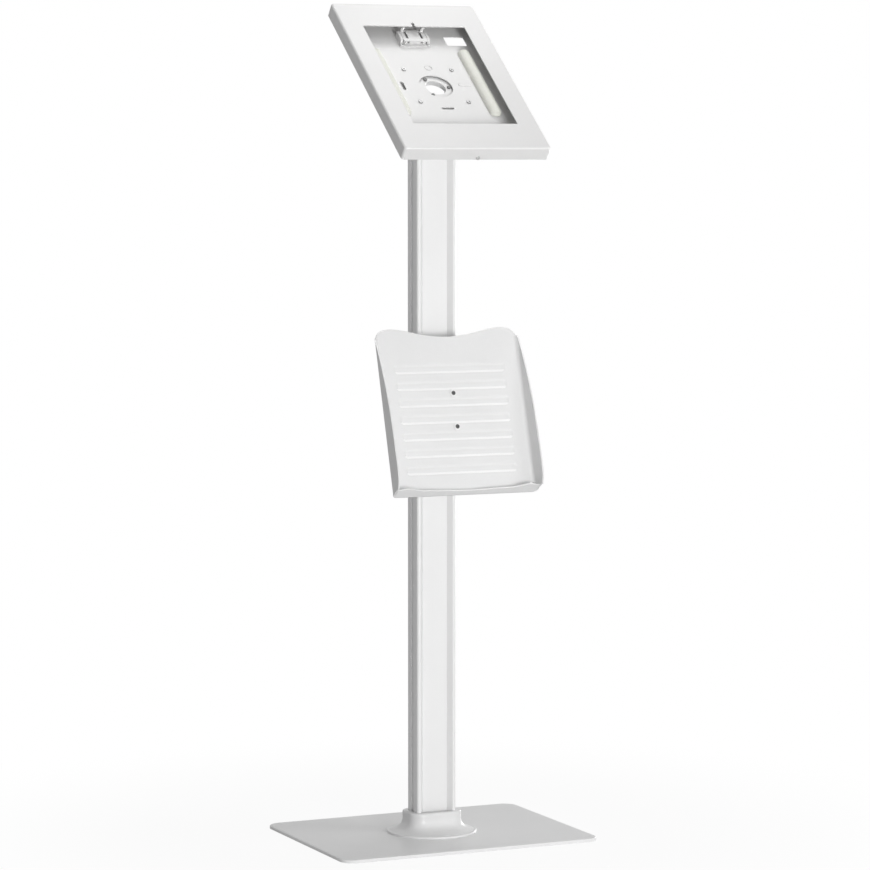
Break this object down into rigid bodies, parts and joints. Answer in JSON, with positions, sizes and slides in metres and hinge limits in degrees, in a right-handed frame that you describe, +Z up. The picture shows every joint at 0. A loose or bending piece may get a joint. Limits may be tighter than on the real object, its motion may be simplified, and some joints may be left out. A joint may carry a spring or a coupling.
{
  "type": "tablet floor stand",
  "caption": "White floor stand with a lockable tilting and rotating tablet case, an extruded column, a leaflet tray and a flat base plate.",
  "frame": {"origin": "on the floor, on the axis of the column", "axes": "+X to the right of someone who faces the stand, -Y towards that person, +Z up"},
  "size_m": [0.4, 0.3085, 1.2014],
  "materials": {
    "coated_case": "satin powder coat",
    "coated_column": "satin powder coat",
    "coated_tray": "satin powder coat",
    "coated_plate": "satin powder coat",
    "cast_head": "satin powder coat",
    "grey_plastic": "satin",
    "steel": "zinc plated",
    "nylon": "matte",
    "foam": "closed-cell foam",
    "rubber": "matte"
  },
  "bodies": {
    "root": {"base_plate": "coated_plate", "base_feet": "rubber", "base_screws": "steel", "base_cover": "grey_plastic", "column": "coated_column", "front_strip_lower": "coated_column", "front_strip_upper": "coated_column", "rear_strip": "coated_column", "column_head": "cast_head", "head_screws": "steel", "tray": "coated_tray", "tray_screws": "steel", "tray_spacers": "nylon", "tray_nuts": "steel", "tray_bracket": "coated_tray", "bracket_screws": "steel", "bracket_t_nuts": "steel"},
    "tilting_head": {"tilt_bracket": "cast_head", "tilt_bolt": "steel", "tilt_nut": "steel", "tilt_washers": "steel", "tilt_friction_washers": "nylon", "rotation_stop_pin": "steel", "rotation_friction_ring": "nylon", "retaining_ring": "coated_case", "ring_screws": "steel"},
    "case": {"rotation_plate": "coated_case", "plate_spacers": "nylon", "case_screws": "steel", "case_back_shell": "coated_case", "foam_bar_left": "foam", "foam_bar_right": "foam", "lower_clamp_base": "coated_case", "lower_clamp_screws": "steel", "upper_clamp_base": "coated_case", "upper_clamp_screws": "steel"},
    "front_frame": {"case_front_frame": "coated_case", "security_nut": "steel"},
    "lock_screw": {"security_screw": "steel"},
    "upper_jaw": {"upper_clamp_jaw": "coated_case"},
    "lower_jaw": {"lower_clamp_jaw": "coated_case"}
  },
  "joints": [
    {"name": "head_tilt", "type": "hinge", "parent": "root", "child": "tilting_head", "pos_m": [0, 0, 1.0625], "axis": [1, 0, 0], "range_deg": [-38, 30]},
    {"name": "case_rotation", "type": "hinge", "parent": "tilting_head", "child": "case", "pos_m": [0, -0.02816, 1.09786], "axis": [0, -0.623, 0.7822], "range_deg": [0, 90]},
    {"name": "frame_lift", "type": "slide", "parent": "case", "child": "front_frame", "axis": [0, -0.623, 0.7822], "range_m": [0, 0.08]},
    {"name": "security_screw_turn", "type": "hinge", "parent": "front_frame", "child": "lock_screw", "pos_m": [0.003, -0.1491, 0.9798], "axis": [0, -0.7822, -0.623], "range_deg": [0, 360]},
    {"name": "upper_jaw_slide", "type": "slide", "parent": "case", "child": "upper_jaw", "axis": [0, 0.7822, 0.623], "range_m": [-0.008, 0.012]},
    {"name": "lower_jaw_slide", "type": "slide", "parent": "case", "child": "lower_jaw", "axis": [0, -0.7822, -0.623], "range_m": [-0.008, 0.012]}
  ]
}
